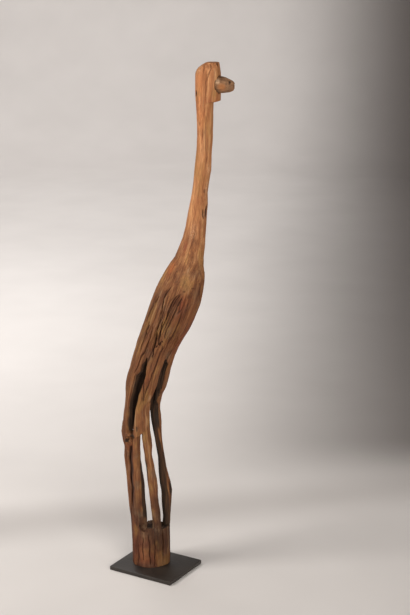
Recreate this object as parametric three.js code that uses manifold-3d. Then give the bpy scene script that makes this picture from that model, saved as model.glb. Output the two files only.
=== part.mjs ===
// Funerary bird sculpture: a weathered wooden bird, carved from one trunk, on a metal plate.
// Units are millimetres. +X is the way the bird faces, +Y is its left and +Z is up.
// The head and the beak are turned a little to the left of +X.
// The origin is the centre of the plate's underside.

import * as THREE from "three";
import { mergeVertices } from "three/addons/utils/BufferGeometryUtils.js";
import Module from "manifold-3d";

const wasm = await Module();
wasm.setup();

// Plate
const PLATE_LENGTH = 180;
const PLATE_WIDTH = 150;
const PLATE_THICKNESS = 10;
const PLATE_EDGE = 0.8;

// The bird's middle plane stands a little to the left of the plate's centre line
const BIRD_Y = 10;
const SIDES = 32;

// The head is turned to the left, and the neck turns with it about its own middle line
const NECK_X = 138.5;
const HEAD_TURN = THREE.MathUtils.degToRad(17);
const TURN_FROM = 1040;
const TURN_TO = 1150;
// The back of the head is rounder than its face and runs into the neck without a step:
// height, squareness of the section behind, how much longer it is there
const NAPE = [
  [1150, 2.6, 0],
  [1188, 2.1, 0.6],
  [1192, 2.6, 1.3],
  [1251, 2.7, 1.3],
  [1279, 3, 1],
];

// Outside of the upper trunk, from the broken tail edge to the crown:
// height, centre along X, half length along X, half width along Y, squareness of the section
const TRUNK = [
  [338, -43, 46, 46, 2.3],
  [352, -45, 48, 47, 2.3],
  [393, -43, 45, 47, 2.3],
  [414, -43, 41, 46, 2.3],
  [435, -41, 41, 46, 2.3],
  [479, -30, 50, 47, 2.3],
  [500, -25, 51, 48, 2.3],
  [522, -19, 49, 48, 2.3],
  [566, -4, 50, 48, 2.3],
  [609, 16, 55, 49, 2.3],
  [653, 37, 60, 49, 2.3],
  [695, 54, 61, 48, 2.3],
  [737, 69, 58, 45, 2.3],
  [779, 83, 50, 38, 2.3],
  [799, 89, 42, 34, 2.3],
  [819, 97, 34, 30, 2.4],
  [840, 103, 31, 26, 2.4],
  [879, 112.5, 25, 21, 2.5],
  [918, 118, 22, 19, 2.6],
  [957, 123.5, 20.5, 18, 2.6],
  [974, 125, 17.5, 17, 2.6],
  [996, 128, 17.5, 17, 2.6],
  [1015, 131.5, 19, 17, 2.6],
  [1052, 134.5, 18, 17, 2.6],
  [1090, 137.5, 17.3, 17, 2.6],
  [1127, 139.5, 17.7, 18, 2.6],
  [1164, 139, 18.1, 21.5, 2.7],
  [1188, 138.5, 19.3, 23.8, 3.1],
  [1192, 146.5, 27.3, 24, 4],
  [1206, 146.5, 27.9, 24.5, 4],
  [1251, 146.5, 27.6, 24.5, 4],
  [1262, 147.8, 25.4, 23.5, 3.8],
  [1271, 151, 21, 21, 3.6],
  [1279, 157.5, 14, 15, 3.6],
];
// Where the sections are cut: from height, to height, number of steps
const TRUNK_STEPS = [
  [345, 540, 11],
  [540, 840, 15],
  [840, 1164, 12],
  [1164, 1188, 1],
  [1188, 1192, 1],
  [1192, 1251, 3],
  [1251, 1279, 5],
];

// The trunk's lower edge rises from the tail to the roots of the legs in front
const LEG_ROOT_RISE = 62;
const LEG_ROOT_BEARING = THREE.MathUtils.degToRad(5);
const LEG_ROOT_NARROWNESS = 1.4;
const TRUNK_EDGE_REACH = 130;

// Foot log, sound up to LOG_SOUND and broken across above it:
// the break's rings are given by how far they lie inwards and how far down
const LOG_X = -20;
const LOG_RADIUS = 48.5;
const LOG_SOUND = 86;
const LOG_TOP = 106;
const LOG_TOP_FALL = 11;
const LOG_STEPS = 5;
const LOG_BREAK = [
  [0, 0],
  [10, 2],
  [32, 8],
];

// The worn limbs below the knee are set out on axes turned from the line of the beak:
// height, place across, place deep, half size across, half size deep
const LIMB_TURN = THREE.MathUtils.degToRad(31);
const LIMB_SIDES = 12;
const LIMB_STEP = 22;
const LIMB_SQUARENESS = 2.6;
const RIGHT_LEG = [
  [66, 4, -8, 11, 13],
  [108, 4, -12, 12, 14],
  [145, 2.5, -12, 10.5, 12],
  [177, -1, -12, 10, 12],
  [209, -3.5, -11, 10.5, 12],
  [241, -7.5, -11, 11, 12],
  [273, -11, -10, 10.5, 12],
  [305, -16, -10, 9.5, 12],
  [336, -18, -7, 11.5, 12],
  [365, -21, -4, 11, 12],
  [410, -24, -1, 11, 12],
  [460, -17, 2, 11, 11],
];
const LEFT_LEG = [
  [66, 24, 26, 9, 13],
  [124, 27, 26, 10, 12],
  [157, 27.5, 27, 12, 11],
  [190, 28, 28, 13.5, 11],
  [222, 24, 29, 13, 12],
  [255, 18.5, 31, 10, 12],
  [287, 15, 33, 9, 12],
  [319, 10, 35, 9.5, 12],
  [351, 6, 38, 11, 12],
  [383, 3.5, 40, 13, 12],
  [421, -1, 42, 13, 12],
  [460, 8, 40, 14, 12],
];
const NEAR_LEG = [
  [66, -40, 8, 17, 18],
  [108, -40, 3, 19, 21],
  [136, -40, 2, 20, 18],
  [168, -40, 1, 17, 16],
  [201, -41, 0, 15.5, 14],
  [233, -43, -1, 14.5, 13],
  [265, -45, -2, 13.5, 13],
  [297, -47, -1, 12.5, 12],
  [320, -47, -1, 12, 12],
  [345, -46, -1, 10.5, 12],
  [369, -43, -1, 9.5, 11],
  [410, -38, 1, 9, 10],
  [450, -32, 4, 8, 9],
];
// Wood left across the bottom of the hollow, between the near leg and the tail
const KNEE = [
  [296, -60, 12, 8, 12],
  [312, -60, 11, 12, 18],
  [334, -61, 12, 16, 22],
  [350, -61, 13, 16, 23],
  [358, -60, 14, 13, 20],
];
const TAIL_STRIP = [
  [66, -48, 20, 11, 20],
  [108, -50.5, 20, 11, 20],
  [132, -52.5, 20, 10.5, 19],
  [164, -55.5, 21, 10.5, 18],
  [197, -58, 22, 10.5, 17],
  [229, -60, 23, 10.5, 17],
  [262, -64, 24, 10.5, 17],
  [294, -67, 26, 10.5, 18],
  [310, -66, 29, 10.5, 20],
  [325, -67.5, 34, 11, 27],
  [345, -71.5, 38, 12, 29],
  [360, -73, 38, 10.5, 25],
  [380, -72, 37, 9, 20],
];

// Rotted hollow inside the trunk above the knee:
// height, centre along X, half length along X, half width along Y
const CAVITY = [
  [318, -42, 27, 31],
  [352, -44, 28, 32],
  [414, -42, 27, 32],
  [470, -30, 29, 32],
  [520, -16, 24, 26],
  [556, -2, 12, 14],
  [574, 4, 3, 4],
];
const CAVITY_SIDES = 16;
const CAVITY_STEPS = 9;
// The openings into it: height, first edge and second edge,
// both as bearings about the trunk's axis, in degrees
const RIGHT_OPENING = [
  [340, -106, -84],
  [375, -109, -82],
  [400, -109, -80],
  [445, -107, -76],
  [483, -106, -72],
  [512, -104, -68],
  [532, -92, -70],
  [568, -84, -81],
];
const FRONT_OPENING = [
  [318, -42, 32],
  [385, -40, 32],
  [412, -38, 27],
  [435, -37, 14],
  [455, -35, 5],
  [482, -31, -1],
  [515, -27, 6],
  [542, -28, -3],
  [560, -26, -20],
];
const LEFT_OPENING = [
  [318, 50, 140],
  [350, 54, 128],
  [390, 66, 112],
  [430, 82, 98],
];
const OPENING_OUT = 70;
const OPENING_ROOT = 6;
const OPENING_STEP = 30;

// Splits along the grain, deep enough to see from across a room:
// each has a path of height and bearing in degrees, one width at the surface and one depth
const SPLITS = [
  { path: [[735, -100], [700, -95], [650, -89], [615, -77], [580, -68], [556, -62]], width: 5, depth: 13 },
  { path: [[724, -58], [690, -73], [664, -71]], width: 4, depth: 9 },
  { path: [[670, -122], [635, -116], [600, -115], [572, -110]], width: 4, depth: 9 },
  { path: [[640, -95], [600, -97], [566, -96]], width: 4.5, depth: 10 },
  { path: [[640, -22], [600, -16], [560, -16], [536, -14]], width: 6, depth: 14 },
  { path: [[880, -22], [835, -8], [795, 0]], width: 2.5, depth: 5 },
  { path: [[700, 60], [650, 72], [600, 80], [550, 84]], width: 5, depth: 12 },
  { path: [[760, 118], [700, 124], [650, 120]], width: 4, depth: 9 },
  { path: [[640, 150], [580, 160], [520, 158]], width: 5, depth: 10 },
];
const LOG_SPLITS = [
  { path: [[112, -19], [70, -17], [12, -17]], width: 5, depth: 16 },
  { path: [[96, -66], [60, -62], [22, -60]], width: 3, depth: 7 },
  { path: [[100, 75], [60, 80], [14, 82]], width: 5, depth: 13 },
  { path: [[90, 170], [50, 176], [14, 178]], width: 4, depth: 10 },
];
const SPLIT_STEP = 32;
const SPLIT_OUT = 4;
const SPLIT_END = 0.04;
const SPLIT_BLUNTNESS = 0.6;

// Pits where wood has broken out, one at the foot of the near gap and one at the knee
const PITS = [
  { centre: [-12, -33, 117], halfSizes: [15, 12, 11] },
  { centre: [-51, -36, 346], halfSizes: [12, 11, 8] },
];

// Beak peg, from its inner end in the head, and its socket
const PEG_START = 20;
const PEG_Z = 1228.5;
const PEG_SIDES = 24;
// Its round section along the peg: distance from the inner end, radius, rise of its centre
const PEG = [
  [0, 19.3, 0],
  [18, 19.3, 0.3],
  [30, 17.4, -0.2],
  [39, 14.4, -1.6],
  [46, 10.8, -1.9],
  [48.5, 8.4, -1.7],
];
const PEG_CLEARANCE = 0.4;
const SOCKET_REACH = 40;
const SOCKET_MOUTH = { depth: 8, wider: 2.6, taper: 1, towardRight: 2.4, up: 1 };

const materials = {
  bird: new THREE.MeshStandardMaterial({ color: 0xb07a4e, roughness: 0.82, metalness: 0 }),
  beak_peg: new THREE.MeshStandardMaterial({ color: 0x96735a, roughness: 0.85, metalness: 0 }),
  base_plate: new THREE.MeshStandardMaterial({ color: 0x3b3734, roughness: 0.5, metalness: 0.7 }),
};

// Smooth reading of a table of sizes by its first column
function sizesAt(table, height) {
  const last = table.length - 1;
  const h = THREE.MathUtils.clamp(height, table[0][0], table[last][0]);
  let i = table.findIndex((row) => row[0] >= h);
  i = Math.max(i, 1);
  const before = table[i - 1];
  const after = table[i];
  const span = after[0] - before[0];
  const t = (h - before[0]) / span;
  const slope = (k, row) => {
    if (k === 0 || k === last) return 0;
    const down = table[k - 1];
    const up = table[k + 1];
    const left = (table[k][row] - down[row]) / (table[k][0] - down[0]);
    const right = (up[row] - table[k][row]) / (up[0] - table[k][0]);
    return left * right <= 0 ? 0 : (2 * left * right) / (left + right);
  };
  return before.map((value, row) => {
    if (row === 0) return h;
    const a = 2 * t ** 3 - 3 * t ** 2 + 1;
    const b = t ** 3 - 2 * t ** 2 + t;
    const c = -2 * t ** 3 + 3 * t ** 2;
    const d = t ** 3 - t ** 2;
    return a * value + b * span * slope(i - 1, row) + c * after[row] + d * span * slope(i, row);
  });
}

// Radius of a rounded rectangular section, an ellipse where squareness is 2
function sectionRadius(bearing, halfLength, halfWidth, squareness) {
  const along = Math.abs(Math.cos(bearing)) / halfLength;
  const across = Math.abs(Math.sin(bearing)) / halfWidth;
  return (along ** squareness + across ** squareness) ** (-1 / squareness);
}

// Shallow flutes that weather leaves along the grain
function weathering(bearing, z) {
  const broad = 0.5 * Math.sin(3 * bearing + z / 90);
  const flute = 0.35 * Math.sin(5 * bearing - z / 140 + 1.2);
  const fine = 0.25 * Math.sin(9 * bearing + z / 70 + 0.4);
  return broad + flute + fine;
}

// Closed geometry through a stack of rings that all have the same number of points
function loft(rings) {
  const count = rings[0].length;
  const points = rings.flat();
  const centre = (ring) => {
    const sum = ring.reduce((total, p) => total.add(p), new THREE.Vector3());
    return sum.divideScalar(count);
  };
  const bottom = points.push(centre(rings[0])) - 1;
  const top = points.push(centre(rings[rings.length - 1])) - 1;
  const index = [];
  for (let i = 0; i < rings.length - 1; i += 1) {
    for (let j = 0; j < count; j += 1) {
      const next = (j + 1) % count;
      const a = i * count + j;
      const b = i * count + next;
      const c = a + count;
      const d = b + count;
      index.push(a, b, d, a, d, c);
    }
  }
  const lastRing = (rings.length - 1) * count;
  for (let j = 0; j < count; j += 1) {
    const next = (j + 1) % count;
    index.push(bottom, next, j);
    index.push(top, lastRing + j, lastRing + next);
  }
  const geometry = new THREE.BufferGeometry().setFromPoints(points);
  geometry.setIndex(index);
  return geometry;
}

// Solids for joining and cutting
function toSolid(geometry) {
  const bare = geometry.clone();
  bare.deleteAttribute("normal");
  bare.deleteAttribute("uv");
  const merged = mergeVertices(bare, 1e-4);
  return new wasm.Manifold(
    new wasm.Mesh({
      numProp: 3,
      vertProperties: new Float32Array(merged.attributes.position.array),
      triVerts: new Uint32Array(merged.index.array),
    }),
  );
}

function toGeometry(solid) {
  const mesh = solid.getMesh();
  const geometry = new THREE.BufferGeometry();
  geometry.setAttribute("position", new THREE.BufferAttribute(mesh.vertProperties, 3));
  geometry.setIndex(new THREE.BufferAttribute(mesh.triVerts, 1));
  geometry.computeVertexNormals();
  return geometry;
}

function ringOf(sides, place) {
  return Array.from({ length: sides }, (unused, j) => place((j / sides) * 2 * Math.PI));
}

function steps(from, to, count) {
  return Array.from({ length: count }, (unused, i) => from + ((to - from) * i) / count);
}

// A place in the turned head and neck, by how far it lies forward of the neck's middle line
function forwardPlace(forward, turn) {
  return [NECK_X + forward * Math.cos(turn), BIRD_Y + forward * Math.sin(turn)];
}

// The trunk above the knee
function trunkPoint(bearing, z, proud = 0) {
  const [, along, halfLength, halfWidth, squareness] = sizesAt(TRUNK, z);
  const turn = HEAD_TURN * THREE.MathUtils.smoothstep(z, TURN_FROM, TURN_TO);
  const [x, y] = forwardPlace(along - NECK_X, turn);
  const behind = Math.cos(bearing - turn) < 0 && z > NAPE[0][0];
  const [, backSquareness, longer] = behind ? sizesAt(NAPE, z) : [z, squareness, 0];
  const wear = Math.min(halfWidth / 24, 1.6);
  const smooth = sectionRadius(bearing - turn, halfLength + longer, halfWidth, backSquareness);
  const radius = smooth + wear * weathering(bearing, z) + proud;
  return new THREE.Vector3(x + radius * Math.cos(bearing), y + radius * Math.sin(bearing), z);
}

function upperTrunk() {
  const heights = TRUNK_STEPS.flatMap(([from, to, count]) => steps(from, to, count));
  heights.push(TRUNK[TRUNK.length - 1][0]);
  const rings = heights.map((z) => {
    const nearEdge = Math.max(0, 1 - (z - heights[0]) / TRUNK_EDGE_REACH);
    return ringOf(SIDES, (bearing) => {
      const towardLegs = Math.max(0, Math.cos(bearing - LEG_ROOT_BEARING)) ** LEG_ROOT_NARROWNESS;
      const splinters = 3 * Math.sin(3 * bearing + 0.5) + 2 * Math.sin(7 * bearing);
      return trunkPoint(bearing, z + nearEdge * (LEG_ROOT_RISE * towardLegs + splinters));
    });
  });
  return toSolid(loft(rings));
}

// The foot log, flat below and broken across above
function logRadius(bearing, z) {
  return LOG_RADIUS + weathering(bearing, z) + 0.6 * Math.sin(6 * bearing + 1);
}

function logPoint(bearing, z, proud = 0) {
  const radius = logRadius(bearing, z) + proud;
  return new THREE.Vector3(LOG_X + radius * Math.cos(bearing), BIRD_Y + radius * Math.sin(bearing), z);
}

function footLog() {
  const sound = steps(PLATE_THICKNESS, LOG_SOUND, LOG_STEPS).map((z) =>
    ringOf(SIDES, (bearing) => logPoint(bearing, z)),
  );
  const broken = LOG_BREAK.map(([inward, drop]) =>
    ringOf(SIDES, (bearing) => {
      const outside = 1 - inward / LOG_RADIUS;
      const splinters = 2.5 * Math.sin(4 * bearing) + 2 * Math.sin(9 * bearing + 1);
      const fall = LOG_TOP_FALL * Math.cos(bearing - LIMB_TURN - Math.PI / 2);
      return logPoint(bearing, LOG_TOP - drop + outside * (splinters - fall), -inward);
    }),
  );
  return toSolid(loft([...sound, ...broken]));
}

// A limb, with its section turned to the limb axes
function limbPlace(across, deep, z) {
  const cos = Math.cos(LIMB_TURN);
  const sin = Math.sin(LIMB_TURN);
  return new THREE.Vector3(across * cos - deep * sin, across * sin + deep * cos, z);
}

function limb(table) {
  const bottom = table[0][0];
  const top = table[table.length - 1][0];
  const count = Math.round((top - bottom) / LIMB_STEP);
  const rings = [...steps(bottom, top, count), top].map((z) => {
    const [, across, deep, halfAcross, halfDeep] = sizesAt(table, z);
    return ringOf(LIMB_SIDES, (bearing) => {
      const knots = 1 + 0.05 * Math.sin(2 * bearing + z / 30) + 0.04 * Math.sin(5 * bearing - z / 45);
      const radius = knots * sectionRadius(bearing, halfAcross, halfDeep, LIMB_SQUARENESS);
      return limbPlace(across + radius * Math.cos(bearing), deep + radius * Math.sin(bearing), z);
    });
  });
  return toSolid(loft(rings));
}

// The rotted hollow and the openings that weather has cut into it
function cavity() {
  const bottom = CAVITY[0][0];
  const top = CAVITY[CAVITY.length - 1][0];
  const rings = [...steps(bottom, top, CAVITY_STEPS), top].map((z) => {
    const [, x, halfLength, halfWidth] = sizesAt(CAVITY, z);
    return ringOf(CAVITY_SIDES, (bearing) => {
      const uneven = 1 + 0.06 * Math.sin(4 * bearing + z / 30);
      const radius = uneven * sectionRadius(bearing, halfLength, halfWidth, 2);
      return new THREE.Vector3(x + radius * Math.cos(bearing), BIRD_Y + radius * Math.sin(bearing), z);
    });
  });
  return toSolid(loft(rings));
}

function opening(table) {
  const bottom = table[0][0];
  const top = table[table.length - 1][0];
  const count = Math.max(5, Math.round((top - bottom) / OPENING_STEP));
  const rings = [...steps(bottom, top, count), top].map((z) => {
    const [, first, second] = sizesAt(table, z);
    const [, x] = sizesAt(TRUNK, z);
    const at = (degrees, radius) => {
      const bearing = THREE.MathUtils.degToRad(degrees);
      return new THREE.Vector3(x + radius * Math.cos(bearing), BIRD_Y + radius * Math.sin(bearing), z);
    };
    return [
      at(first, OPENING_ROOT),
      at(first, OPENING_OUT),
      at(second, OPENING_OUT),
      at(second, OPENING_ROOT),
    ];
  });
  return toSolid(loft(rings));
}

// A split is a thin wedge that follows the grain and runs out at both ends
function split({ path, width, depth }, pointAt) {
  const route = path.map(([z, bearing]) => [z, THREE.MathUtils.degToRad(bearing)]).reverse();
  const bottom = route[0][0];
  const top = route[route.length - 1][0];
  const count = Math.max(5, Math.round((top - bottom) / SPLIT_STEP));
  const rings = [...steps(bottom, top, count), top].map((z) => {
    const [, bearing] = sizesAt(route, z);
    const along = THREE.MathUtils.clamp((z - bottom) / (top - bottom), SPLIT_END, 1 - SPLIT_END);
    const open = Math.sin(Math.PI * along) ** SPLIT_BLUNTNESS;
    const root = pointAt(bearing, z, -depth * open);
    const lip = pointAt(bearing, z, SPLIT_OUT);
    const side = new THREE.Vector3(-Math.sin(bearing), Math.cos(bearing), 0);
    const half = 0.5 * width * open * (1 + SPLIT_OUT / Math.max(depth * open, 1));
    return [root, lip.clone().addScaledVector(side, -half), lip.clone().addScaledVector(side, half)];
  });
  return toSolid(loft(rings));
}

// A ragged pit where wood has broken out
function pit([x, y, z], [halfX, halfY, halfZ]) {
  const blob = new THREE.IcosahedronGeometry(1, 1);
  const position = blob.attributes.position;
  for (let i = 0; i < position.count; i += 1) {
    const ragged = 1 + 0.12 * Math.sin(7 * position.getX(i) + 5 * position.getZ(i));
    position.setXYZ(i, position.getX(i) * ragged, position.getY(i) * ragged, position.getZ(i) * ragged);
  }
  blob.scale(halfX, halfY, halfZ);
  blob.rotateZ(LIMB_TURN);
  blob.translate(x, y, z);
  return toSolid(blob);
}

// A round bar, pointing forward from the peg's inner end, with its size changing along it
function forwardBar(table, sides) {
  const rings = table.map(([x, radius, rise]) =>
    ringOf(sides, (turn) => new THREE.Vector3(x, radius * Math.cos(turn), radius * Math.sin(turn) + rise)),
  );
  return loft(rings);
}

function socket() {
  const { depth, wider, taper, towardRight, up } = SOCKET_MOUTH;
  const tight = PEG[0][1] + PEG_CLEARANCE;
  const hole = forwardBar([[-PEG_CLEARANCE, tight, 0], [SOCKET_REACH, tight, 0]], PEG_SIDES);
  const wide = PEG[0][1] + wider;
  const mouth = forwardBar([[depth, wide - taper, 0], [SOCKET_REACH, wide, 0]], PEG_SIDES);
  mouth.translate(0, -towardRight, up);
  const [x, y] = forwardPlace(PEG_START, HEAD_TURN);
  for (const cutter of [hole, mouth]) cutter.rotateZ(HEAD_TURN).translate(x, y, PEG_Z);
  return toSolid(hole).add(toSolid(mouth));
}

function birdGeometry() {
  let trunk = upperTrunk();
  for (const cutter of [cavity(), opening(RIGHT_OPENING), opening(FRONT_OPENING), opening(LEFT_OPENING)]) {
    trunk = trunk.subtract(cutter);
  }
  for (const crack of SPLITS) trunk = trunk.subtract(split(crack, trunkPoint));
  trunk = trunk.subtract(socket());
  let log = footLog();
  for (const crack of LOG_SPLITS) log = log.subtract(split(crack, logPoint));
  let bird = trunk.add(log);
  for (const table of [RIGHT_LEG, LEFT_LEG, NEAR_LEG, TAIL_STRIP, KNEE]) bird = bird.add(limb(table));
  for (const { centre, halfSizes } of PITS) bird = bird.subtract(pit(centre, halfSizes));
  return toGeometry(bird);
}

function platePiece() {
  const outline = new THREE.Shape();
  const halfLength = PLATE_LENGTH / 2 - PLATE_EDGE;
  const halfWidth = PLATE_WIDTH / 2 - PLATE_EDGE;
  outline.moveTo(-halfLength, -halfWidth);
  outline.lineTo(halfLength, -halfWidth);
  outline.lineTo(halfLength, halfWidth);
  outline.lineTo(-halfLength, halfWidth);
  outline.closePath();
  const plate = new THREE.ExtrudeGeometry(outline, {
    depth: PLATE_THICKNESS - 2 * PLATE_EDGE,
    bevelEnabled: true,
    bevelThickness: PLATE_EDGE,
    bevelSize: PLATE_EDGE,
    bevelSegments: 1,
    steps: 1,
  });
  const piece = new THREE.Mesh(plate, materials.base_plate);
  piece.name = "base_plate";
  piece.position.z = PLATE_EDGE;
  return piece;
}

function birdPiece() {
  const piece = new THREE.Mesh(birdGeometry(), materials.bird);
  piece.name = "bird";
  return piece;
}

function beakPiece() {
  const piece = new THREE.Mesh(forwardBar(PEG, PEG_SIDES), materials.beak_peg);
  piece.name = "beak_peg";
  piece.position.set(...forwardPlace(PEG_START, HEAD_TURN), PEG_Z);
  piece.rotation.z = HEAD_TURN;
  return piece;
}

const sculpture = new THREE.Group();
sculpture.add(birdPiece(), beakPiece(), platePiece());
export default sculpture;
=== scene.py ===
import math

import bpy
import numpy as np
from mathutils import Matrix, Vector


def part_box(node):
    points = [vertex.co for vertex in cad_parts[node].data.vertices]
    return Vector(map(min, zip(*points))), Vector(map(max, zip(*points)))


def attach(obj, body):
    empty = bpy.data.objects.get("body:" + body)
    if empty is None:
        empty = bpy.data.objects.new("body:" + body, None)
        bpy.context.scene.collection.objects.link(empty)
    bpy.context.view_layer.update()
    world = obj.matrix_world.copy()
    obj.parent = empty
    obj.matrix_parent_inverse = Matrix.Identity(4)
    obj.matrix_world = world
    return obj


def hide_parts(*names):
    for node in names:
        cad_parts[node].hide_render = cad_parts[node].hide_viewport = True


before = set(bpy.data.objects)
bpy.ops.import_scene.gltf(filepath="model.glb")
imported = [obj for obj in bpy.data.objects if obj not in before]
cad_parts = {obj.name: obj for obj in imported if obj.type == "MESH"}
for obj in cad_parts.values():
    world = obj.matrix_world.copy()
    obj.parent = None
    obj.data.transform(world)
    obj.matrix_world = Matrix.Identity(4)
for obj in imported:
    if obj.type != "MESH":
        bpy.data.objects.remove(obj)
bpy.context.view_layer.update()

# Lengths on the carving are in millimetres and bearings in degrees about its middle line,
# 0 towards the beak and 90 towards the bird's left. Blender's own lengths are in metres.
MM = 0.001

# Camera, at a standing eye's height to the bird's right and in front
CAMERA_PLACE = (1.9027, -2.9369, 1.6504)
CAMERA_BEARING = 30.8943
CAMERA_DOWN = 15.4678
CAMERA_LENS = 87.8

# Middle line of the trunk and neck: height, place along X, place along Y
BIRD_Y = 10
TRUNK_LINE = [
    (338, -43, 10), (352, -45, 10), (400, -43, 10), (435, -41, 10), (479, -30, 10), (522, -19, 10),
    (566, -4, 10), (609, 16, 10), (653, 37, 10), (695, 54, 10), (737, 69, 10), (779, 83, 10),
    (819, 97, 10), (879, 112.5, 10), (957, 123.5, 10), (1052, 134.5, 10), (1127, 139.5, 10),
    (1188, 141, 10.8), (1279, 147, 13),
]
# The head is turned to the bird's left
NECK_X = 138.5
HEAD_TURN = math.radians(17)
# Outside of the hollow part of the trunk: height, half length along X, half width along Y
SHELL = [
    (338, 46, 46), (400, 44, 47), (435, 41, 46), (479, 50, 47), (522, 49, 48), (566, 50, 48), (600, 54, 49),
]
SHELL_SQUARENESS = 2.3
# The worn limbs below: height, place across and place deep on axes turned by LIMB_TURN
LIMB_TURN = math.radians(31)
LIMB_LINES = {
    "near leg": [(110, -40, 3), (250, -44, -2), (400, -38, 1)],
    "right leg": [(110, 4, -12), (240, -7.5, -11), (365, -21, -4), (400, -24, -1)],
    "left leg": [(110, 25, 26), (190, 28, 28), (290, 15, 33), (400, 0, 41)],
    "tail strip": [(110, -50.5, 20), (230, -60, 23), (300, -67, 26), (345, -71.5, 38), (400, -72, 37)],
}
LOG_X = -20
LOG_TOP = 106
# The beak peg's inner end, forward of the neck's middle line, and its height
PEG_START = 20
SOCKET_Z = 1228.5

# Long cracks on the trunk: path of height and bearing, width, depth
TRUNK_CRACKS = [
    ([(742, -103), (719, -101), (694, -95), (662, -91), (641, -87), (604, -75), (568, -66)], 2.6, 5),
    ([(663, -80), (642, -74), (621, -68), (602, -64)], 2.8, 6),
    ([(734, -60), (720, -69), (703, -73), (687, -74), (668, -71)], 2.4, 4.5),
    ([(736, -57), (716, -63), (702, -66)], 1.8, 3),
    ([(724, -122), (716, -125), (704, -128)], 1.8, 3),
    ([(658, -122), (635, -120), (617, -116), (597, -115), (576, -110)], 2.4, 5),
    ([(648, -103), (620, -97), (606, -94), (591, -95), (571, -98), (542, -101), (521, -105)], 2.6, 6),
    ([(624, 7), (602, -5), (580, -13), (560, -17)], 2.8, 6),
    ([(750, -94), (733, -98), (712, -102)], 1.6, 3),
    ([(698, -54), (670, -58), (644, -58), (618, -54)], 1.6, 2.5),
    ([(704, -131), (680, -134), (652, -134)], 1.8, 3),
    ([(726, -49), (704, -54)], 1.6, 3),
    ([(690, -36), (660, -38), (630, -36), (604, -38)], 1.4, 2),
    ([(600, -50), (560, -47), (520, -50), (470, -58)], 1.6, 2.4),
    ([(560, -78), (530, -80), (490, -66), (450, -58)], 1.5, 2.4),
    ([(762, -12), (745, -5), (720, 0)], 1.8, 3),
    ([(940, -30), (931, -26), (924, -26), (915, -16)], 2.2, 4.5),
    ([(700, 62), (650, 72), (600, 80), (545, 84)], 2.4, 5),
    ([(760, 118), (700, 124), (650, 120), (600, 124)], 2.2, 4),
    ([(690, 40), (650, 48), (600, 52)], 2, 3.5),
    ([(730, 95), (680, 100), (630, 98)], 1.8, 3),
    ([(640, 150), (580, 160), (515, 158)], 2.4, 5),
    ([(700, 165), (650, 172), (600, 176)], 2, 3.5),
    ([(560, 130), (510, 136), (460, 132)], 2, 3.5),
]
# Faint cracks on the head and neck
FINE_CRACKS = [
    ([(1279, -45), (1271, -45.5), (1266, -45), (1260, -50), (1248, -56), (1238, -58)], 1.3, 1.8),
    ([(1279, -95), (1268, -83), (1256, -81)], 1, 1.4),
    ([(1262, -66), (1230, -64), (1196, -60)], 0.8, 0.8),
    ([(1128, -73), (1115, -70), (1100, -65)], 1.4, 1.2),
    ([(1160, -56), (1110, -52), (1060, -44)], 0.8, 0.6),
    ([(1068, -32), (1046, -30)], 1.3, 1.2),
    ([(866, -17), (835, -8), (800, -1)], 1.4, 1.6),
    ([(900, -60), (850, -66), (810, -76)], 1.1, 1),
    ([(1180, 100), (1120, 96), (1070, 92)], 1.3, 1.6),
    ([(1000, 70), (940, 76), (890, 80)], 1.4, 1.6),
]
LOG_CRACKS = [
    ([(116, -19), (70, -17), (12, -17)], 3, 6),
    ([(100, -66), (60, -62), (20, -60)], 2, 4),
    ([(92, -82), (60, -84), (30, -80)], 1.8, 3),
    ([(84, -48), (52, -45), (14, -47)], 1.8, 3.4),
    ([(70, -100), (40, -98), (12, -101)], 1.8, 3),
    ([(100, 75), (60, 80), (14, 82)], 3, 6),
    ([(90, 170), (50, 176), (14, 178)], 2.6, 5),
    ([(84, 125), (50, 128), (16, 126)], 1.8, 3),
    ([(90, 30), (50, 33), (14, 31)], 2, 3.4),
]
# Knot holes and chips: height, bearing, half width, half height, depth, darkness
TRUNK_PITS = [
    (742, -48, 3.6, 3, 1.2, 0.5), (750, -28, 4, 2.6, 1.2, 0.4), (729, -34, 3, 5, 1.2, 0.4),
    (605, -60, 2.6, 5, 4, 0.9), (598, -66, 2, 3.5, 3, 0.8), (612, -57, 2, 3, 3, 0.8),
    (933, 8, 6, 15, 5, 1), (983, -28, 3.5, 5, 2, 0.5), (1209, -121, 3, 7, 3.5, 0.9),
    (1276, -7, 3, 4, 2.5, 0.9), (1141, -101, 2, 4, 1, 0.35), (1080, -75, 1.6, 5, 0.8, 0.3),
    (700, 86, 3, 5, 4, 0.8), (560, 104, 3.5, 6, 4, 0.8), (860, 140, 2.4, 6, 2.5, 0.7),
    (1010, 120, 2, 5, 1.5, 0.6),
]
# Blunt edges between the faces the head and neck are cut in: path of height and bearing, height
FACE_EDGES = [
    ([(1276, -89), (1252, -81), (1207, -74), (1126, -74), (1033, -59), (986, -50), (914, -41)], 1.2),
    ([(1184, -46), (1150, -42), (1080, -33), (1009, -18), (940, -8)], 0.8),
    ([(1180, 118), (1100, 122), (1000, 130)], 0.8),
]
# Stains and worn places: height, bearing, half width, half height, strength
PALE_PLACES = [
    (885, -76, 8, 18, 0.4), (1033, -12, 6, 9, 0.5), (990, -4, 5, 22, 0.5), (925, -18, 5, 6, 0.3),
    (1268, -112, 5, 8, 0.5),
]
RED_PLACES = [
    (848, -101, 7, 16, 0.9), (715, -48, 12, 25, 0.7), (690, -35, 16, 30, 0.6), (640, 4, 14, 40, 0.8),
    (585, 5, 14, 40, 0.8), (520, -62, 10, 30, 0.5), (1194, -45, 14, 4, 0.8),
    (60, -95, 26, 45, 0.5), (30, -60, 50, 26, 0.5), (40, 30, 20, 40, 0.4), (640, 130, 22, 40, 0.6),
]
ORANGE_PLACES = [
    (792, -125, 8, 16, 1), (1160, -95, 10, 50, 0.5), (1238, -100, 10, 30, 0.6),
]
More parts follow.
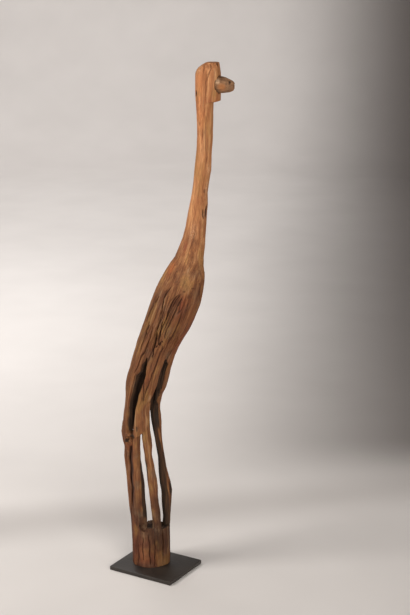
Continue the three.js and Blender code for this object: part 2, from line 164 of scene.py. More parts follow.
# Broken and rotted places below the hollow, on the limb axes, painted dark for their rot and for the shade in
# their holes:
# place across, deep and high, half size across, deep and high, darkness
DARK_PLACES = [
    (-54.5, -8, 354, 6.5, 16, 5.5, 1), (-68, -8, 342.5, 9, 16, 3, 1), (-43.5, -10, 376, 3, 12, 8, 0.9),
    (-38, -26, 117, 2, 14, 12, 0.9), (-18, -26, 131, 8, 14, 2, 0.9), (38, 24, 206, 3, 14, 18, 1),
]
# The left leg is painted dark, as rot and as the near leg's shadow, up to an edge, and the near leg
# is painted shade beyond one: height, place across
LEFT_LEG_ROT_AND_SHADE = [
    (110, 36), (155, 33.7), (183, 35), (210, 30.3), (256, 28), (277, 25.7), (304, 19.6),
    (330, 13.6), (357, 6.3), (383, 2.3), (426, 0.6),
]
NEAR_LEG_SHADE = [(137, -30.8), (172, -31.7), (213, -33.7), (253, -35.8), (293, -37.8)]
# Groove between the near leg and the tail strip: height, place across
GROOVE = [(141, -53.8), (195, -54.9), (222, -55.8), (249, -57.4), (302, -59.2), (330, -60)]
# Middle of the hollow in the front of the foot log
FOOT_PIT = (-12, -33, 117)
# How deeply weather has eaten the surface: height, share
EROSION = [
    (10, 0.7), (110, 0.75), (300, 0.75), (450, 0.9), (560, 1.25), (640, 1.5), (710, 1.25),
    (750, 0.7), (790, 0.35), (860, 0.2), (1000, 0.18), (1150, 0.14), (1279, 0.18),
]

# Finest grid and the triangles of each finished piece
VOXEL = 1.3
BIRD_FACES = 190_000
PEG_VOXEL = 0.9
PEG_FACES = 24_000


def deselect_all():
    for thing in bpy.context.selected_objects:
        thing.select_set(False)


def choose(thing):
    """Make one object the only one selected, and active"""
    deselect_all()
    thing.select_set(True)
    bpy.context.view_layer.objects.active = thing


def apply_modifier(thing, kind, **settings):
    choose(thing)
    modifier = thing.modifiers.new(kind.lower(), kind)
    for name, value in settings.items():
        setattr(modifier, name, value)
    bpy.ops.object.modifier_apply(modifier=modifier.name)


def smooth_step(low, high, value):
    t = np.clip((value - low) / (high - low), 0, 1)
    return t * t * (3 - 2 * t)


# Mesh points as arrays, in millimetres
def points_of(thing):
    flat = np.empty(len(thing.data.vertices) * 3, np.float32)
    thing.data.vertices.foreach_get("co", flat)
    return flat.reshape(-1, 3).astype(float) / MM


def normals_of(thing):
    flat = np.empty(len(thing.data.vertices) * 3, np.float32)
    thing.data.vertices.foreach_get("normal", flat)
    return flat.reshape(-1, 3).astype(float)


def move_points(thing, points):
    thing.data.vertices.foreach_set("co", (points * MM).astype(np.float32).ravel())
    thing.data.update()


def store(thing, name, values):
    """Keep a number or a vector for each point of the mesh, for its material"""
    kind, field = ("FLOAT", "value") if values.ndim == 1 else ("FLOAT_VECTOR", "vector")
    attribute = thing.data.attributes.new(name, kind, "POINT")
    attribute.data.foreach_set(field, values.astype(np.float32).ravel())


# Seeded noise
NOISE_PRIMES = np.array([374761393, 668265263, 2147483647])


def noise(points, seed):
    """Smooth random values from about -1 to 1, with one cell to each unit of the points"""
    cell = np.floor(points).astype(np.int64)
    inside = points - cell
    blend = inside**3 * (inside * (inside * 6 - 15) + 10)
    total = np.zeros(len(points))
    for corner in range(8):
        step = np.array([corner & 1, corner >> 1 & 1, corner >> 2])
        key = ((cell + step) * NOISE_PRIMES).sum(1) + seed * 1013904223 & 0xFFFFFFFF
        key = (key ^ key >> 15) * 2246822519 & 0xFFFFFFFF
        key = (key ^ key >> 13) * 3266489917 & 0xFFFFFFFF
        slopes = np.stack([key >> shift & 0xFF for shift in (0, 8, 16)], 1) / 127.5 - 1
        height = (slopes * (inside - step)).sum(1)
        total += height * np.where(step == 1, blend, 1 - blend).prod(1)
    return total * 1.6


def grain_noise(grain, across, along, seed):
    """Noise drawn out along the grain: its size across the grain and along it"""
    return noise(grain / np.array([across, across, along]), seed)


# Places on the carving
def trunk_place(z):
    """X and Y of the middle line of the trunk and neck"""
    heights, x, y = zip(*TRUNK_LINE)
    return np.stack([np.interp(z, heights, x), np.interp(z, heights, y)], 1)


def in_head(points, forward_from):
    """Places along, across and up the turned head, from a point forward of the neck's middle line"""
    cos, sin = math.cos(HEAD_TURN), math.sin(HEAD_TURN)
    x, y, z = points.T
    x, y = x - NECK_X, y - BIRD_Y
    return x * cos + y * sin - forward_from, y * cos - x * sin, z


def limb_places(z):
    """X and Y of each worn limb's middle line at heights z"""
    cos, sin = math.cos(LIMB_TURN), math.sin(LIMB_TURN)
    for line in LIMB_LINES.values():
        heights, across, deep = zip(*line)
        a, d = np.interp(z, heights, across), np.interp(z, heights, deep)
        yield np.stack([a * cos - d * sin, a * sin + d * cos], 1)


def on_limb_axes(points):
    """Places across and deep on the axes of the worn limbs"""
    cos, sin = math.cos(LIMB_TURN), math.sin(LIMB_TURN)
    x, y = points[:, :2].T
    return x * cos + y * sin, y * cos - x * sin


def grain_of(points):
    """Where each point lies in the wood: its offset from the heart, and its way along the grain"""
    z = points[:, 2]
    trunk = trunk_place(z)
    drift, weights = np.zeros_like(trunk), np.zeros(len(z))
    knee = [place[0] for place in limb_places(np.array([400.0]))]
    for place, top in zip(limb_places(z), knee):
        distance = np.hypot(*(points[:, :2] - place).T)
        weight = 1 / (distance**2 + 25) ** 2
        drift += weight[:, None] * (place - top + (-43, BIRD_Y))
        weights += weight
    drift /= weights[:, None]
    upper = smooth_step(370, 450, z)[:, None]
    drift = drift * (1 - upper) + trunk * upper
    return np.column_stack([points[:, :2] - drift, z])


def heart_of(z):
    """The post's middle line, from the foot log to the crown"""
    heart = trunk_place(z)
    heart[:, 0] = np.where(z < 400, np.interp(z, (LOG_TOP, 400), (LOG_X, -43)), heart[:, 0])
    return heart


def outwards(points):
    """Level direction from the middle line to each point, and its bearing"""
    flat = points[:, :2] - heart_of(points[:, 2])
    distance = np.hypot(*flat.T)
    direction = np.column_stack([flat / np.maximum(distance, 1e-6)[:, None], np.zeros(len(points))])
    return direction, np.degrees(np.arctan2(flat[:, 1], flat[:, 0])), distance


def turn_between(bearing, other):
    return (bearing - other + 180) % 360 - 180


def crack_shape(z, bearing, distance, path, width):
    """How far each point lies in a crack, 0 at its lips and 1 in its bed, and how near it lies"""
    heights, bearings = zip(*sorted(path))
    span = heights[-1] - heights[0]
    along = np.clip((z - heights[0]) / span, 0, 1)
    sway = 1.6 * np.sin(z / 7.3 + heights[0]) + 1.1 * np.sin(z / 3.1 + heights[-1])
    aside = np.radians(turn_between(bearing, np.interp(z, heights, bearings))) * distance
    half = 0.5 * width * (1 + 0.35 * np.sin(z / 5.7 + span)) * np.sin(np.pi * along) ** 0.5
    offset = np.abs(aside + 0.35 * sway)
    inside = (along > 0) * (along < 1)
    depth = 1 - offset / np.maximum(half + 0.5, 0.5)
    near = np.exp(-((offset / (half + 2.2)) ** 2)) * np.sin(np.pi * along) ** 0.3
    return np.clip(depth, 0, 1) * inside, near * inside


def place_shape(z, bearing, distance, place):
    """How far each point lies in an oval place on the surface, 1 in its middle"""
    height, middle, half_width, half_height = place[:4]
    aside = np.radians(turn_between(bearing, middle)) * distance / half_width
    return np.exp(-(aside**2) - ((z - height) / half_height) ** 2)


def relax(thing, rounds, keep):
    """Smooth the mesh without shrinking it, less where keep is near 1"""
    points = points_of(thing)
    edges = np.empty(len(thing.data.edges) * 2, np.int32)
    thing.data.edges.foreach_get("vertices", edges)
    a, b = edges.reshape(-1, 2).T
    count = len(points)
    degree = np.bincount(a, minlength=count) + np.bincount(b, minlength=count)
    for factor in (0.5, -0.51) * rounds:
        mean = np.empty_like(points)
        for axis in range(3):
            column = points[:, axis]
            mean[:, axis] = np.bincount(a, column[b], count) + np.bincount(b, column[a], count)
        mean /= degree[:, None]
        points += factor * (1 - keep)[:, None] * (mean - points)
    move_points(thing, points)


def copy_of_node(node, name):
    """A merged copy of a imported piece, to be reworked"""
    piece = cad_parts[node].copy()
    piece.data = piece.data.copy()
    piece.name = piece.data.name = name
    piece.parent = None
    for label in list(piece.keys()):
        del piece[label]
    bpy.context.scene.collection.objects.link(piece)
    piece.data.materials.clear()
    choose(piece)
    bpy.ops.object.mode_set(mode="EDIT")
    bpy.ops.mesh.select_all(action="SELECT")
    bpy.ops.mesh.remove_doubles(threshold=1e-5)
    bpy.ops.object.mode_set(mode="OBJECT")
    return piece


def thin_out(piece, faces):
    """Bring a mesh down to a number of triangles, keeping them where it bends"""
    piece.data.calc_loop_triangles()
    now = len(piece.data.loop_triangles)
    apply_modifier(piece, "DECIMATE", ratio=min(1, faces / now), use_collapse_triangulate=True)


def keep_in_box(piece, node):
    low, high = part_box(node)
    move_points(piece, np.clip(points_of(piece), np.array(low) / MM, np.array(high) / MM))


def weathered_bird():
    """The carving, with cracks, ridges and pits cut into a fine copy of its solid, and its rot and painted
    shade kept for its material
    """
    bird = copy_of_node("bird", "weathered_bird")
    apply_modifier(bird, "REMESH", mode="VOXEL", voxel_size=VOXEL * MM, adaptivity=0)

    points = points_of(bird)
    forward, aside, z = in_head(points, 0)
    chin = smooth_step(1185, 1195, z) * (1 - smooth_step(1205, 1225, z))
    crisp = 0.7 * chin * smooth_step(2, 14, forward)
    socket = (np.hypot(z - SOCKET_Z, aside) < 27) & (forward > 16)
    relax(bird, 16, np.where(socket, 0.9, crisp))

    points, normals = points_of(bird), normals_of(bird)
    z = points[:, 2]
    grain = grain_of(points)
    out, bearing, distance = outwards(points)
    facing = (normals * out).sum(1)
    outer = smooth_step(0.15, 0.5, facing)
    log = z < LOG_TOP + 6
    trunk = z > 400
    soft = np.interp(z, *zip(*EROSION))
    flat_end = smooth_step(0.75, 0.95, np.abs(normals[:, 2]))

    # The edges of splits and holes waver with the grain
    waver = 1 - smooth_step(1180, 1190, z)
    side = np.column_stack([-out[:, 1], out[:, 0], out[:, 2]])
    points += side * (1.3 * waver * grain_noise(grain, 30, 26, 3))[:, None]

    broad = noise(grain / 42, 5) * np.interp(z, (1150, 1200), (1.1, 0.35))
    ridges = 0.6 * grain_noise(grain, 4.4, 190, 7) + 0.5 * grain_noise(grain, 9, 260, 8)
    fine = grain_noise(grain, 2.6, 70, 11)
    patchy = smooth_step(-0.4, 0.35, noise(grain / np.array([28, 28, 90]), 13))
    first = 1 - np.clip(np.abs(grain_noise(grain, 8, 240, 17)) / 0.1, 0, 1)
    second = 1 - np.clip(np.abs(grain_noise(grain, 5, 140, 19)) / 0.13, 0, 1)
    checks = np.maximum(first, 0.6 * second) * patchy * (1 - flat_end)
    height = broad + soft * (0.9 * ridges + 0.35 * fine) - 1.8 * soft * checks
    for path, rise in FACE_EDGES:
        heights, bearings = zip(*sorted(path))
        away = np.radians(np.abs(turn_between(bearing, np.interp(z, heights, bearings)))) * distance
        along = smooth_step(heights[0] - 20, heights[0] + 40, z)
        along *= 1 - smooth_step(heights[-1] - 10, heights[-1] + 6, z)
        height += rise * np.clip(1 - away / 9, 0, 1) * along * outer
    splinters = flat_end * (z < 560) * grain_noise(grain, 4, 40, 23)
    height += 2.2 * splinters

    crack = np.clip(0.6 * checks * soft, 0, 1)
    sink, stain = np.zeros(len(z)), np.zeros(len(z))
    for cracks, where, dark in ((TRUNK_CRACKS, trunk, 1), (FINE_CRACKS, trunk, 0.5), (LOG_CRACKS, log, 0.8)):
        for path, width, depth in cracks:
            shape, near = crack_shape(z, bearing, distance, path, width)
            shape, near = shape * outer * where, near * outer * where
            sink = np.maximum(sink, shape**0.7 * depth)
            crack = np.maximum(crack, dark * smooth_step(0, 0.9, shape))
            stain = np.maximum(stain, dark * near)
    ragged = 1 + 0.5 * noise(points / np.array([4, 4, 7]), 47)
    for pit in TRUNK_PITS:
        shape = place_shape(z, bearing, distance, pit) * outer * trunk * ragged
        hole = smooth_step(0.2, 0.8, shape)
        sink = np.maximum(sink, hole * pit[4])
        crack = np.maximum(crack, pit[5] * hole)
        stain = np.maximum(stain, pit[5] * smooth_step(0, 0.5, shape))

    across, deep = on_limb_axes(points)
    camera_side = (deep < 22) * (on_limb_axes(normals)[1] < 0.2)
    away = np.abs(across - np.interp(z, *zip(*GROOVE)) + 1.2 * np.sin(z / 9) + noise(points / 8, 53))
    along = smooth_step(130, 230, z) * (1 - smooth_step(322, 336, z))
    groove = smooth_step(4.2, 0.5, away) * along * camera_side
    into = np.array([-math.sin(LIMB_TURN), math.cos(LIMB_TURN), 0])
    # The groove's bed is painted dark, as the shade of a deep slot
    crack = np.maximum(crack, 0.9 * groove)
    stain = np.maximum(stain, smooth_step(9, 2, away) * along * camera_side)

    moved = points + normals * height[:, None] - out * sink[:, None] + into * (6 * groove)[:, None]
    foot = z < 12
    moved[foot] = np.column_stack([moved[foot, :2], z[foot]])
    move_points(bird, moved)

    worn = np.clip(0.5 + 0.5 * ridges + 0.2 * fine, 0, 1)
    store(bird, "grain", grain * MM)
    store(bird, "crack", crack)
    store(bird, "stain", stain)
    store(bird, "ridge", worn)
    thin_out(bird, BIRD_FACES)
    keep_in_box(bird, "bird")

    points, normals = points_of(bird), normals_of(bird)
    z = points[:, 2]
    out, bearing, distance = outwards(points)
    facing = (normals * out).sum(1)
    store(bird, "rot_and_shade", inner_share(points, normals, bearing, distance, facing))
    tail_red = 0.3 * smooth_step(-47, -53, on_limb_axes(points)[0]) * (z < 335)
    marks = {"pale": (PALE_PLACES, 0), "red": (RED_PLACES, tail_red), "orange": (ORANGE_PLACES, 0)}
    for name, (places, more) in marks.items():
        total = sum(place_shape(z, bearing, distance, place) * place[4] for place in places)
        store(bird, name, np.clip(total * smooth_step(0, 0.4, facing) + more, 0, 1))
    return bird


def inner_share(points, normals, bearing, distance, facing):
    """How much of each point is painted dark, for rot and for painted shade, in the hollow and on the limbs
    """
    z = points[:, 2]
    ragged = noise(points / np.array([9, 9, 26]), 29)
    # Faces turned in towards the middle line are painted dark, as rot and as shade
    limbs = smooth_step(0.15 + 0.15 * ragged, -0.35, facing)
    across, deep = on_limb_axes(points)
    _, facing_back = on_limb_axes(normals)
    limbs = np.where(across < -47, 0.4 * limbs, limbs)
    # The left leg's side towards the near leg is painted dark, as rot and as the near leg's shadow
    left = smooth_step(2.5, -2.5, across - np.interp(z, *zip(*LEFT_LEG_ROT_AND_SHADE)) + 1.6 * ragged)
    left *= 0.75 * (deep > 12) * (across > -16) * smooth_step(0.7, 0.2, facing_back) * (z > 100)
    # The near leg's narrow face beside the gap is painted shade
    near = smooth_step(-1.5, 2, across - np.interp(z, *zip(*NEAR_LEG_SHADE)) + 1.4 * ragged)
    near *= (across < -18) * (deep < 18) * smooth_step(126, 150, z) * smooth_step(320, 270, z)
    limbs = np.maximum(limbs, np.maximum(left, near) * (z < 436))

    heights, length, width = zip(*SHELL)
    turn = np.radians(bearing)
    along = np.abs(np.cos(turn)) / np.interp(z, heights, length)
    sideways = np.abs(np.sin(turn)) / np.interp(z, heights, width)
    shell = (along**SHELL_SQUARENESS + sideways**SHELL_SQUARENESS) ** (-1 / SHELL_SQUARENESS)
    # The inside of the hollow shell is painted dark, as rot and as shade
    under = smooth_step(3, 8, shell - distance + 1.5 * ragged)
    hollow = np.maximum(under, limbs) * (1 - smooth_step(575, 590, z))
    rot_and_shade = np.where(z > 372, hollow, np.maximum(limbs, under * smooth_step(350, 372, z)))

    # Less painted dark in the front hollow of the foot log
    pit = smooth_step(26, 18, np.linalg.norm(points - FOOT_PIT, axis=1))
    rot_and_shade *= 1 - 0.8 * pit
    # Broken places painted dark, as rot and as the shade in their holes
    for *middle, half_across, half_deep, half_high, dark in DARK_PLACES:
        offset = (np.stack([across, deep, z], 1) - middle) / (half_across, half_deep, half_high)
        reach = np.linalg.norm(offset, axis=1) + 0.35 * noise(points / 5, 59)
        rot_and_shade = np.maximum(rot_and_shade, dark * smooth_step(1.25, 0.75, reach))
    return rot_and_shade


def dressed(piece, node, material):
    """Colour a finished piece and set it in the frame in place of its solid"""
    piece.data.materials.clear()
    piece.data.materials.append(material)
    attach(piece, "root")
    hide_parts(node)


# Materials
class Nodes:
    """A material's nodes, added one by one"""

    def __init__(self, name):
        self.material = bpy.data.materials.new(name)
        self.material.use_nodes = True
        self.tree = self.material.node_tree
        self.shader = self.tree.nodes["Principled BSDF"]

    def add(self, kind, settings=None, **inputs):
        """Add a node, with its own settings and with values or links for its inputs"""
        made = self.tree.nodes.new("ShaderNode" + kind)
        for name, value in (settings or {}).items():
            setattr(made, name, value)
        for name, value in inputs.items():
            self.put(made, name.replace("_", " "), value)
        return made

    def put(self, made, name, value):
        socket = made.inputs[int(name)] if name.isdigit() else made.inputs[name]
        if isinstance(value, bpy.types.NodeSocket):
            self.tree.links.new(value, socket)
        else:
            socket.default_value = value

    def attribute(self, name, output="Fac"):
        return self.add("Attribute", {"attribute_name": name}).outputs[output]

    def stretched(self, vector, scale):
        made = self.add("Mapping", {"vector_type": "POINT"}, Vector=vector, Scale=scale)
        return made.outputs["Vector"]

    def noise(self, vector, scale, detail=3, rough=0.55, distortion=0):
        made = self.add("TexNoise", None, Vector=vector, Scale=scale, Detail=detail, Roughness=rough)
        made.inputs["Distortion"].default_value = distortion
        return made.outputs["Fac"]

    def ranged(self, value, low, high, to_low=0, to_high=1):
        made = self.add("MapRange", {"interpolation_type": "SMOOTHSTEP", "clamp": True}, Value=value)
        for name, number in zip(("From Min", "From Max", "To Min", "To Max"), (low, high, to_low, to_high)):
            made.inputs[name].default_value = number
        return made.outputs["Result"]

    def mix(self, share, first, second, blend="MIX"):
        made = self.tree.nodes.new("ShaderNodeMix")
        made.data_type, made.blend_type = "RGBA", blend
        self.put(made, "0", share)
        for index, value in ((6, first), (7, second)):
            self.put(made, str(index), value)
        return made.outputs[2]

    def ramp(self, value, stops):
        made = self.add("ValToRGB", None, Fac=value)
        elements = made.color_ramp.elements
        elements[0].position, elements[0].color = stops[0]
        elements[1].position, elements[1].color = stops[-1]
        for place, colour in stops[1:-1]:
            elements.new(place).color = colour
        return made.outputs["Color"]

    def maths(self, operation, first, second=0.0):
        made = self.tree.nodes.new("ShaderNodeMath")
        made.operation = operation
        self.put(made, "0", first)
        self.put(made, "1", second)
        return made.outputs[0]


def tone(red, green, blue):
    """A colour given as a display shows it, from 0 to 255, made linear"""
    def linear(value):
        value /= 255
        return value / 12.92 if value <= 0.04045 else ((value + 0.055) / 1.055) ** 2.4
    return (linear(red), linear(green), linear(blue), 1)


# Wood colours
NECK_DARK, NECK_MID, NECK_LIGHT = tone(132, 76, 44), tone(176, 117, 75), tone(214, 158, 110)
BODY_DARK, BODY_MID, BODY_LIGHT = tone(80, 46, 28), tone(118, 73, 44), tone(152, 108, 68)
FOOT_DARK, FOOT_MID, FOOT_LIGHT = tone(42, 25, 17), tone(70, 43, 27), tone(98, 67, 45)
# The dark of cracks, also used for painted shade in the groove and the beak's socket
CRACK_AND_SHADE_DARK, STAIN_BROWN = tone(44, 25, 16), tone(84, 46, 27)
# Dark browns for rot and for painted shade in the hollow and on the limbs
ROT_AND_SHADE_DARK, ROT_AND_SHADE_BROWN = tone(38, 28, 20), tone(70, 48, 32)
RED_WOOD, ORANGE_WOOD, PALE_WOOD = tone(132, 62, 40), tone(196, 112, 60), tone(222, 184, 148)
GREY_WOOD, CHALKY_WOOD, OCHRE_WOOD = tone(118, 100, 80), tone(184, 150, 112), tone(160, 122, 66)


def weathered_wood():
    nodes = Nodes("weathered wood")
    grain = nodes.attribute("grain", "Vector")
    place = nodes.add("TexCoord").outputs["Object"]
    height = nodes.add("SeparateXYZ", None, Vector=place).outputs["Z"]
    drawn_out = nodes.stretched(grain, (1, 1, 0.06))
    longer = nodes.stretched(grain, (1, 1, 0.03))

    broad_streak = nodes.noise(longer, 130, 3, 0.6, 0.4)
    streak = nodes.noise(drawn_out, 320, 4, 0.6, 0.3)
    hair = nodes.noise(drawn_out, 900, 3, 0.6)
    cloud = nodes.noise(grain, 22, 4, 0.6)
    cloud_b = nodes.noise(nodes.stretched(grain, (1, 1, 0.4)), 38, 3, 0.55)
    broad_part, fine_part = nodes.maths("MULTIPLY", broad_streak, 0.55), nodes.maths("MULTIPLY", streak, 0.45)
    figure = nodes.maths("ADD", broad_part, fine_part)

    def wood(dark, mid, light):
        return nodes.ramp(figure, [(0.33, dark), (0.5, mid), (0.67, light)])

    neck = wood(NECK_DARK, NECK_MID, NECK_LIGHT)
    body = wood(BODY_DARK, BODY_MID, BODY_LIGHT)
    foot = wood(FOOT_DARK, FOOT_MID, FOOT_LIGHT)
    ragged = nodes.maths("ADD", height, nodes.ranged(cloud_b, 0.3, 0.7, -0.05, 0.05))
    colour = nodes.mix(nodes.ranged(ragged, 0.70, 0.98), body, neck)
    colour = nodes.mix(nodes.ranged(ragged, 0.24, 0.1), colour, foot)

    lower = nodes.ranged(height, 0.95, 0.6, 0.08, 0.45)
    colour = nodes.mix(nodes.maths("MULTIPLY", nodes.ranged(cloud, 0.5, 0.72), lower), colour, GREY_WOOD)
    colour = nodes.mix(nodes.ranged(cloud_b, 0.5, 0.7, 0, 0.4), colour, OCHRE_WOOD)
    reddened = nodes.maths("MULTIPLY", nodes.attribute("red"), nodes.ranged(cloud_b, 0.35, 0.6, 0.35, 1))
    colour = nodes.mix(nodes.maths("MULTIPLY", reddened, 0.7), colour, RED_WOOD)
    oranged = nodes.maths("MULTIPLY", nodes.attribute("orange"), nodes.ranged(streak, 0.35, 0.6, 0.4, 1))
    colour = nodes.mix(nodes.maths("MULTIPLY", oranged, 0.7), colour, ORANGE_WOOD)

    ridge = nodes.attribute("ridge")
    eroded = nodes.ranged(height, 0.95, 0.72, 0.12, 0.6)
    colour = nodes.mix(nodes.maths("MULTIPLY", nodes.ranged(ridge, 0.5, 0.2), eroded), colour, STAIN_BROWN)
    hairline = nodes.ranged(hair, 0.35, 0.65, 0.76, 1.14)
    grey = nodes.add("CombineXYZ", None, X=hairline, Y=hairline, Z=hairline).outputs[0]
    colour = nodes.mix(1.0, colour, grey, "MULTIPLY")
    colour = nodes.mix(nodes.ranged(ridge, 0.6, 0.95, 0, 0.4), colour, CHALKY_WOOD)
    flecks = nodes.noise(grain, 240, 3, 0.6)
    pale = nodes.maths("MULTIPLY", nodes.attribute("pale"), nodes.ranged(flecks, 0.42, 0.6, 0.1, 1))
    colour = nodes.mix(pale, colour, PALE_WOOD)

    # Rot and painted shade: the hollow's inside and the limbs' shaded faces are darkened
    rot_and_shade_colour = nodes.mix(nodes.ranged(streak, 0.4, 0.65), ROT_AND_SHADE_DARK, ROT_AND_SHADE_BROWN)
    rot_and_shade = nodes.attribute("rot_and_shade")
    colour = nodes.mix(nodes.ranged(rot_and_shade, 0.1, 0.9, 0, 0.96), colour, rot_and_shade_colour)
    colour = nodes.mix(nodes.ranged(nodes.attribute("stain"), 0.1, 0.9, 0, 0.7), colour, STAIN_BROWN)
    # Cracks and pits, with painted shade in the groove's bed
    colour = nodes.mix(nodes.ranged(nodes.attribute("crack"), 0.1, 0.9, 0, 0.85), colour, CRACK_AND_SHADE_DARK)
    nodes.put(nodes.shader, "Base Color", colour)

    nodes.put(nodes.shader, "Roughness", nodes.ranged(streak, 0.3, 0.7, 0.72, 0.9))
    nodes.shader.inputs["Specular IOR Level"].default_value = 0.28
    relief = nodes.maths("ADD", nodes.maths("MULTIPLY", streak, 0.7), nodes.maths("MULTIPLY", hair, 0.3))
    bump = nodes.add("Bump", None, Strength=0.55, Distance=0.0011, Height=relief)
    nodes.put(nodes.shader, "Normal", bump.outputs["Normal"])
    return nodes.material


def peg_wood():
    nodes = Nodes("beak wood")
    place = nodes.add("TexCoord").outputs["Object"]
    along = nodes.stretched(place, (0.12, 1, 1))
    streak = nodes.noise(along, 260, 4, 0.6, 0.3)
    cloud = nodes.noise(place, 60, 3, 0.55)
    dark, mid, light = tone(104, 74, 54), tone(134, 98, 70), tone(158, 120, 88)
    colour = nodes.ramp(streak, [(0.3, dark), (0.5, mid), (0.7, light)])
    colour = nodes.mix(nodes.ranged(cloud, 0.5, 0.66, 0, 0.3), colour, tone(146, 100, 64))
    colour = nodes.mix(nodes.ranged(nodes.attribute("warm"), 0.1, 0.9, 0, 0.6), colour, tone(172, 106, 56))
    # The crack channel on the peg also holds painted shade inside the socket's rim
    colour = nodes.mix(nodes.ranged(nodes.attribute("crack"), 0.1, 0.7, 0, 0.9), colour, CRACK_AND_SHADE_DARK)
    colour = nodes.mix(nodes.ranged(nodes.attribute("pale"), 0.2, 0.8, 0, 0.7), colour, PALE_WOOD)
    nodes.put(nodes.shader, "Base Color", colour)
    nodes.put(nodes.shader, "Roughness", nodes.ranged(streak, 0.3, 0.7, 0.7, 0.88))
    nodes.shader.inputs["Specular IOR Level"].default_value = 0.3
    bump = nodes.add("Bump", None, Strength=0.5, Distance=0.0009, Height=streak)
    nodes.put(nodes.shader, "Normal", bump.outputs["Normal"])
    return nodes.material


def blackened_steel():
    nodes = Nodes("blackened steel")
    place = nodes.add("TexCoord").outputs["Object"]
    cloud = nodes.noise(place, 18, 4, 0.6)
    speckle = nodes.noise(place, 420, 3, 0.6)
    rolled = nodes.noise(nodes.stretched(place, (0.08, 1, 1)), 300, 3, 0.6)
    colour = nodes.ramp(cloud, [(0.35, tone(36, 31, 28)), (0.65, tone(50, 43, 38))])
    colour = nodes.mix(nodes.ranged(speckle, 0.56, 0.72, 0, 0.3), colour, tone(84, 70, 60))
    nodes.put(nodes.shader, "Base Color", colour)
    worn = nodes.maths("ADD", cloud, rolled)
    nodes.put(nodes.shader, "Roughness", nodes.ranged(worn, 0.7, 1.3, 0.36, 0.52))
    bump = nodes.add("Bump", None, Strength=0.15, Distance=0.0004, Height=nodes.maths("ADD", speckle, rolled))
    nodes.put(nodes.shader, "Normal", bump.outputs["Normal"])
    return nodes.material


# The paper is painted with shade: darker to the right behind the carving, as the camera sees it
SHADE_WAY = (0.9145, 0.4191, 0)
BEHIND_WAY = (-0.5135, 0.858, 0)


def studio_paper():
    nodes = Nodes("studio paper")
    place = nodes.add("TexCoord").outputs["Object"]

    def along(way):
        made = nodes.add("VectorMath", {"operation": "DOT_PRODUCT"})
        nodes.put(made, "0", place)
        nodes.put(made, "1", way)
        return made.outputs["Value"]

    right, behind = along(SHADE_WAY), along(BEHIND_WAY)
    mottle = nodes.noise(place, 3, 2)
    colour = nodes.ramp(mottle, [(0.3, tone(224, 219, 216)), (0.7, tone(229, 224, 221))])
    # Painted shade, falling off to the right and behind like the edge of a lamp's pool of light
    shade = nodes.maths("MULTIPLY", nodes.ranged(right, -0.25, 0.95), nodes.ranged(behind, 0.35, 0.95))
    colour = nodes.mix(shade, colour, tone(104, 98, 95))
    # A soft band of painted shade behind the carving, as a paper's bend would show
    bend = nodes.maths("SUBTRACT", nodes.maths("ADD", behind, nodes.maths("MULTIPLY", right, -0.22)), 0.36)
    bend_shade = nodes.maths("MULTIPLY", nodes.ranged(nodes.maths("ABSOLUTE", bend), 0, 0.2, 1, 0), 0.25)
    colour = nodes.mix(bend_shade, colour, tone(110, 100, 95))
    nodes.put(nodes.shader, "Base Color", colour)
    nodes.shader.inputs["Roughness"].default_value = 0.9
    nodes.shader.inputs["Specular IOR Level"].default_value = 0.1
    return nodes.material


def beak_peg():
    """The round peg of the beak, whittled by flats that run in to its tip"""
    peg = copy_of_node("beak_peg", "whittled_beak")
    apply_modifier(peg, "REMESH", mode="VOXEL", voxel_size=PEG_VOXEL * MM, adaptivity=0)
    relax(peg, 8, np.zeros(len(peg.data.vertices)))
    points, normals = points_of(peg), normals_of(peg)
    x, y, z = in_head(points, PEG_START)
    z = z - SOCKET_Z
    turn = np.arctan2(z, -y)
    lengthwise = np.column_stack([y, z, x])
    flats = 0.5 * np.cos(9 * turn + 0.4) * smooth_step(15, 46, x)
    streaks = grain_noise(lengthwise, 3, 26, 31)
    height = flats + 0.28 * streaks + 0.35 * noise(lengthwise / 9, 37)
    checks = 1 - np.clip(np.abs(grain_noise(lengthwise, 7, 46, 41)) / 0.07, 0, 1)
    checks = checks * smooth_step(0.1, 0.5, noise(lengthwise / 14, 43))
    height = height - 0.5 * checks
    rim = 8.5 + 0.0135 * z**2
    pit = np.exp(-(((x - 41) / 3) ** 2) - ((y + 9) / 3.4) ** 2) * (z > 2)
    top_spot = np.exp(-(((x - 20) / 4) ** 2) - ((y + 6) / 5) ** 2) * (z > 8)
    moved = points + normals * (height - 1.6 * pit)[:, None]
    move_points(peg, moved)
    # Painted shade: the peg's side just inside the socket's rim is darkened as if shadowed by the cheek's
    # edge, kept with the cracks
    in_shade = smooth_step(rim + 1.2, rim - 1.2, x)
    store(peg, "crack", np.clip(0.2 * checks + 0.8 * pit + 0.5 * top_spot + in_shade, 0, 1))
    store(peg, "pale", np.exp(-(((x - 14) / 6) ** 2) - ((z - 9) / 6) ** 2) * (y < 0))
    store(peg, "warm", np.exp(-(((x - 24) / 10) ** 2) - ((z + 3) / 9) ** 2) * (y < 0))
    thin_out(peg, PEG_FACES)
    keep_in_box(peg, "beak_peg")
    return peg


PLATE_EDGE = 1.2


def steel_plate():
    """The flat base plate, with its edges eased"""
    low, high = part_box("base_plate")
    deselect_all()
    bpy.ops.mesh.primitive_cube_add(size=1, location=(low + high) / 2)
    plate = bpy.context.object
    plate.name = plate.data.name = "steel_plate"
    plate.scale = high - low
    bpy.ops.object.transform_apply(location=True, rotation=False, scale=True)
    apply_modifier(plate, "BEVEL", width=PLATE_EDGE * MM, segments=3, limit_method="ANGLE")
    bpy.ops.object.shade_smooth_by_angle(angle=math.radians(35))
    return plate


# The studio
FLOOR_RADIUS = 5.6
WALL_RADIUS = 1.6
WALL_TOP = 5.5
WALL_STEPS = 12


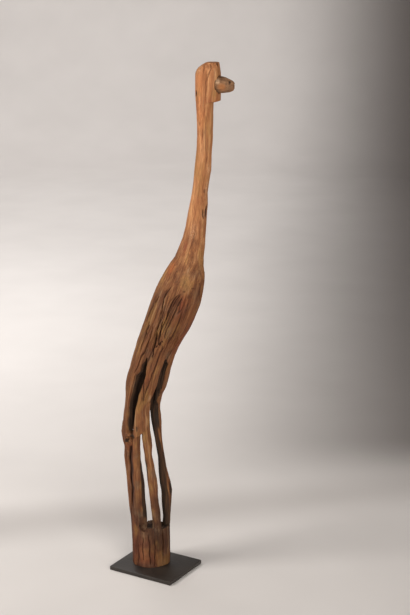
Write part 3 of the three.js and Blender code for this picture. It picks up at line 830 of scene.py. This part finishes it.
def studio_bowl():
    """A round pale floor that curves up into a wall all the way round"""
    deselect_all()
    floor = {"radius": FLOOR_RADIUS, "location": (0, 0, -MM / 2)}
    bpy.ops.mesh.primitive_circle_add(vertices=96, fill_type="NGON", **floor)
    bowl = bpy.context.object
    bowl.name = bowl.data.name = "studio_bowl"
    bpy.ops.object.transform_apply(location=True, rotation=False, scale=False)
    bpy.ops.object.mode_set(mode="EDIT")
    bpy.ops.mesh.select_all(action="SELECT")
    bpy.ops.mesh.region_to_loop()
    radius, rise = FLOOR_RADIUS, 0.0
    for step in range(1, WALL_STEPS + 1):
        turn = math.pi / 2 * step / WALL_STEPS
        wider = FLOOR_RADIUS + WALL_RADIUS * math.sin(turn)
        higher = WALL_RADIUS * (1 - math.cos(turn))
        bpy.ops.mesh.extrude_edges_move(TRANSFORM_OT_translate={"value": (0, 0, higher - rise)})
        bpy.ops.transform.resize(value=(wider / radius, wider / radius, 1), center_override=(0, 0, 0))
        radius, rise = wider, higher
    bpy.ops.mesh.extrude_edges_move(TRANSFORM_OT_translate={"value": (0, 0, WALL_TOP - rise)})
    bpy.ops.object.mode_set(mode="OBJECT")
    bpy.ops.object.shade_smooth_by_angle(angle=math.radians(40))
    bowl.data.materials.append(studio_paper())


def area_light(name, place, aim, size, power, colour, spread=180):
    lamp = bpy.data.lights.new(name, "AREA")
    lamp.shape = "RECTANGLE"
    lamp.size, lamp.size_y = size
    lamp.energy, lamp.color = power, colour
    lamp.spread = math.radians(spread)
    holder = bpy.data.objects.new(name, lamp)
    holder.location = place
    holder.rotation_euler = (Vector(aim) - Vector(place)).to_track_quat("-Z", "Y").to_euler()
    bpy.context.scene.collection.objects.link(holder)


def lights():
    area_light("key", (-1.75, -1.9, 2.1), (0.05, 0, 0.85), (1.2, 1.6), 62, (1, 0.97, 0.93))
    area_light("fill", (2.4, -1.9, 1.5), (0, 0, 0.65), (1.8, 1.8), 14, (1, 0.96, 0.9), 70)
    area_light("backdrop left", (-1.9, 1.2, 2.5), (-2.1, 1.3, 0), (1.6, 1.6), 26, (1, 0.99, 0.98), 120)
    area_light("backdrop far", (-2.67, 3.3, 3.3), (-3.7, 5.01, 0.4), (3, 2), 45, (1, 0.99, 0.98), 140)
    world = bpy.data.worlds.new("studio air")
    bpy.context.scene.world = world
    world.use_nodes = True
    background = world.node_tree.nodes["Background"]
    background.inputs["Color"].default_value = (0.87, 0.84, 0.81, 1)
    background.inputs["Strength"].default_value = 0.3


def camera():
    data = bpy.data.cameras.new("camera")
    data.lens = CAMERA_LENS
    holder = bpy.data.objects.new("camera", data)
    holder.location = CAMERA_PLACE
    holder.rotation_euler = (math.radians(90 - CAMERA_DOWN), 0, math.radians(CAMERA_BEARING))
    bpy.context.scene.collection.objects.link(holder)
    bpy.context.scene.camera = holder


bpy.context.scene.view_settings.view_transform = "Standard"
camera()
lights()
studio_bowl()
dressed(steel_plate(), "base_plate", blackened_steel())
dressed(beak_peg(), "beak_peg", peg_wood())
dressed(weathered_bird(), "bird", weathered_wood())
